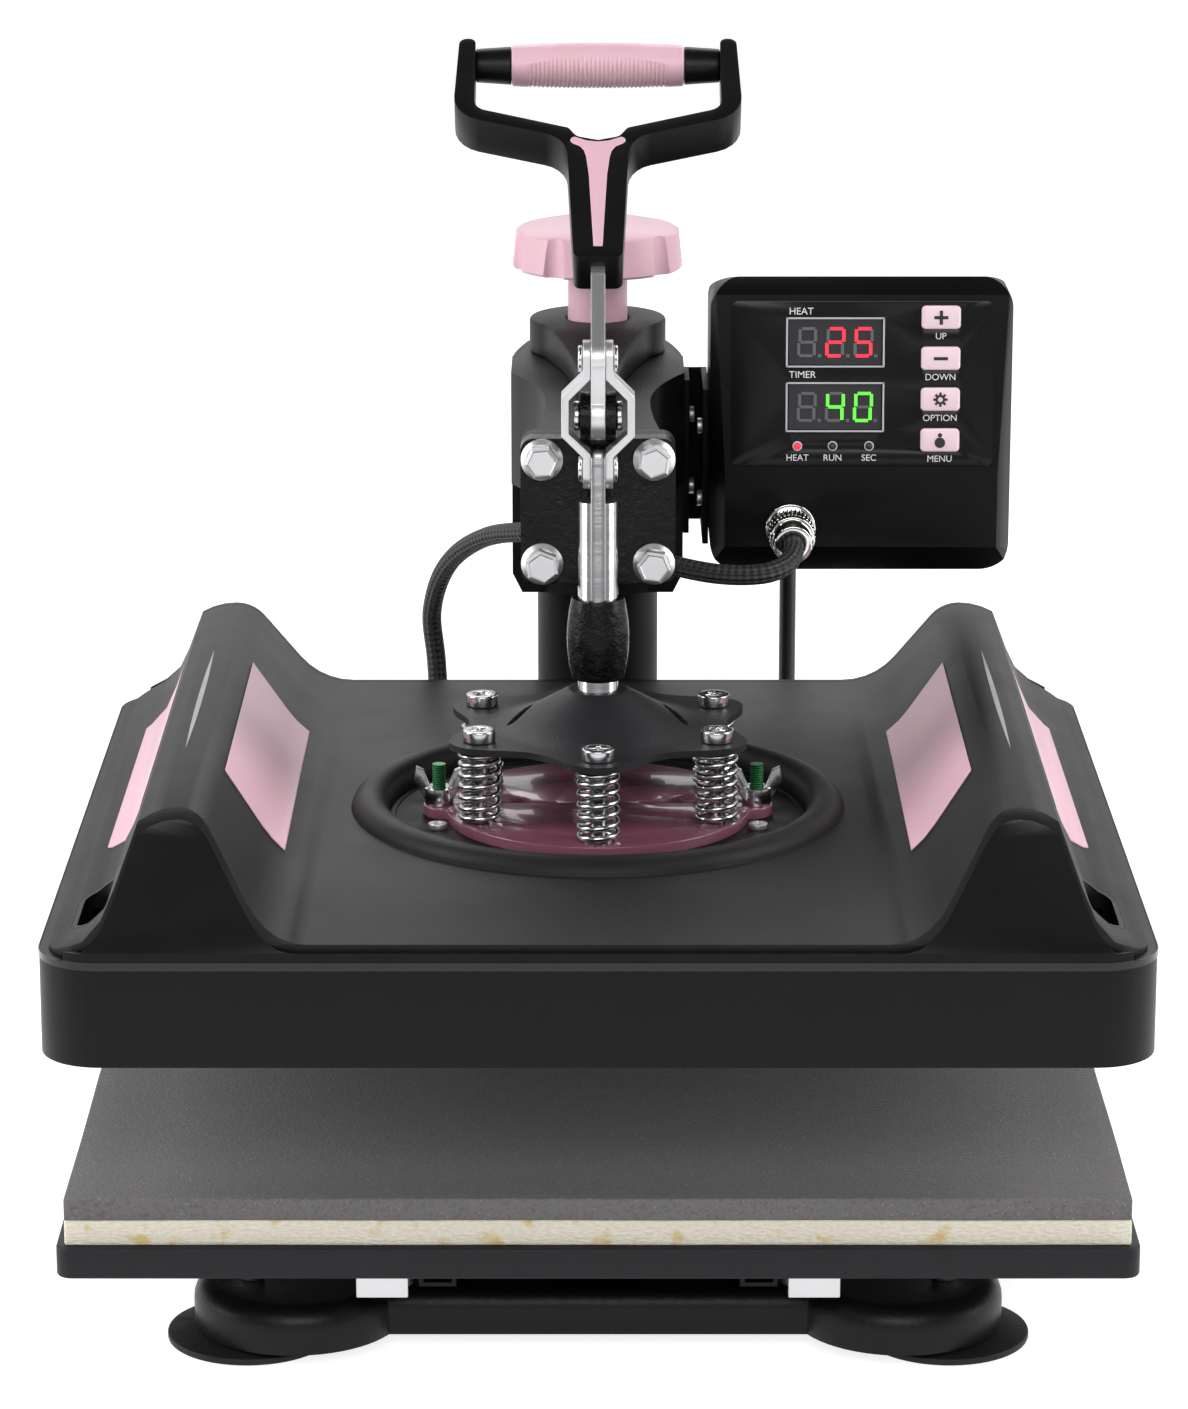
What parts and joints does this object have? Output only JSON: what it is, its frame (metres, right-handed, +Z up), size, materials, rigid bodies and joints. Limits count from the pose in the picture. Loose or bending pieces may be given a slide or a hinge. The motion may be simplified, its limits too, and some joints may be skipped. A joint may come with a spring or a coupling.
{
  "type": "combo heat press",
  "caption": "Swing-away bench heat press: a sprung heated head under a toggle lever on a post with a pressure knob, a padded bed on suction feet and a side controller with a mains lead.",
  "frame": {"origin": "on the floor, under the middle of the outline of the press without its mains lead", "axes": "+X to the right as the front is faced, +Y to the back where the post is, +Z up"},
  "size_m": [0.39, 0.5454, 0.4384],
  "materials": {
    "black_paint": "satin",
    "black_plastic": "satin",
    "cast_black": "rough cast",
    "pink_plastic": "satin",
    "pink_metal": "gloss",
    "zinc_steel": "zinc plated",
    "nickel": "bright",
    "green_steel": "zinc dyed green",
    "brass": "satin",
    "aluminium": "machined",
    "silicone": "speckled foam",
    "felt": "felted",
    "rubber": "matte",
    "overlay": "gloss",
    "led": "lit",
    "board": "coated",
    "pale_pink": "satin",
    "mineral_wool": "fibrous"
  },
  "bodies": {
    "base": {"base_frame": "black_paint", "suction_feet": "rubber", "base_fasteners": "zinc_steel", "post": "black_paint", "post_nut": "brass", "tray_rails": "black_paint", "platen_tray": "black_paint", "felt_pad": "felt", "silicone_mat": "silicone", "tray_clips": "zinc_steel", "mains_cord": "rubber", "mains_coil": "rubber", "mains_plug": "black_plastic"},
    "bush": {"swing_bush": "black_plastic"},
    "arm": {"swing_arm": "black_paint", "arm_hood": "black_plastic", "toggle_body": "cast_black", "flange_bolts": "zinc_steel", "pivot_pin": "zinc_steel", "controller_bracket": "black_paint", "controller_screws": "zinc_steel", "case_front": "black_plastic", "case_back": "black_plastic", "display_overlay": "overlay", "led_lights": "led", "circuit_board": "board", "connector_socket": "nickel", "connector_plug": "nickel", "cord_gland": "rubber", "head_cable": "rubber"},
    "knob": {"pressure_knob": "pink_plastic", "lead_screw": "zinc_steel"},
    "lever": {"lever_plate": "zinc_steel", "handle_frame": "black_plastic", "handle_inlay": "pink_plastic", "grip_rod": "black_plastic", "grip_sleeve": "pink_plastic"},
    "links": {"toggle_links": "zinc_steel", "link_rivets": "zinc_steel"},
    "ram": {"ram_rod": "zinc_steel", "spider_plate": "black_paint"},
    "head": {"adapter_plate": "pink_metal", "spring_screws": "zinc_steel", "springs": "zinc_steel", "wing_studs": "green_steel", "cover_top": "black_plastic", "cover_skirt": "black_plastic", "cover_inlays": "pink_plastic", "heating_platen": "aluminium", "heating_element": "zinc_steel", "insulation": "mineral_wool", "centre_dish": "black_paint", "head_screws": "zinc_steel", "cable_gland": "rubber"},
    "left_wing_nut": {"wing_nut_left": "zinc_steel"},
    "right_wing_nut": {"wing_nut_right": "zinc_steel"},
    "plus_key": {"button_plus": "pale_pink"},
    "minus_key": {"button_minus": "pale_pink"},
    "setup_key": {"button_setup": "pale_pink"},
    "mode_key": {"button_mode": "pale_pink"}
  },
  "joints": [
    {"name": "head_swing", "type": "hinge", "parent": "base", "child": "bush", "pos_m": [0, 0.1735, 0.24], "axis": [0, 0, 1], "range_deg": [-90, 90], "deforming": ["mains_cord"]},
    {"name": "arm_lift", "type": "slide", "parent": "bush", "child": "arm", "axis": [0, 0, 1], "range_m": [-0.0125, 0.004]},
    {"name": "knob_turn", "type": "hinge", "parent": "arm", "child": "knob", "pos_m": [0, 0.1735, 0.33], "axis": [0, 0, 1], "range_deg": [-1130, 365]},
    {"name": "ram_slide", "type": "slide", "parent": "arm", "child": "ram", "axis": [0, 0, -1], "range_m": [0, 0.043], "deforming": ["head_cable"]},
    {"name": "handle_pull", "type": "hinge", "parent": "arm", "child": "lever", "pos_m": [0, -0.0385, 0.316], "axis": [1, 0, 0], "range_deg": [0, 180]},
    {"name": "link_swing", "type": "hinge", "parent": "lever", "child": "links", "pos_m": [0, -0.0385, 0.3375], "axis": [1, 0, 0], "range_deg": [-180, 0]},
    {"name": "platen_float", "type": "slide", "parent": "ram", "child": "head", "axis": [0, 0, 1], "range_m": [0, 0.005], "stiffness_N_per_m": 48000, "springref_m": -0.002, "deforming": ["springs"]},
    {"name": "wing_nut_left_turn", "type": "hinge", "parent": "head", "child": "left_wing_nut", "pos_m": [-0.06, -0.0385, 0.17], "axis": [0, 0, 1], "continuous": true},
    {"name": "wing_nut_right_turn", "type": "hinge", "parent": "head", "child": "right_wing_nut", "pos_m": [0.06, -0.0385, 0.17], "axis": [0, 0, 1], "continuous": true},
    {"name": "plus_press", "type": "slide", "parent": "arm", "child": "plus_key", "axis": [0, 0.9959, -0.0906], "range_m": [0, 0.001], "stiffness_N_per_m": 900, "springref_m": -0.0006},
    {"name": "minus_press", "type": "slide", "parent": "arm", "child": "minus_key", "axis": [0, 0.9959, -0.0906], "range_m": [0, 0.001], "stiffness_N_per_m": 900, "springref_m": -0.0006},
    {"name": "setup_press", "type": "slide", "parent": "arm", "child": "setup_key", "axis": [0, 0.9959, -0.0906], "range_m": [0, 0.001], "stiffness_N_per_m": 900, "springref_m": -0.0006},
    {"name": "mode_press", "type": "slide", "parent": "arm", "child": "mode_key", "axis": [0, 0.9959, -0.0906], "range_m": [0, 0.001], "stiffness_N_per_m": 900, "springref_m": -0.0006}
  ],
  "couplings": [
    {"joint": "knob_turn", "follows": "arm_lift", "rad_per_m": 1570.8},
    {"joint": "handle_pull", "follows": "ram_slide", "rad_per_m": 73.06},
    {"joint": "link_swing", "follows": "ram_slide", "rad_per_m": -73.06}
  ]
}
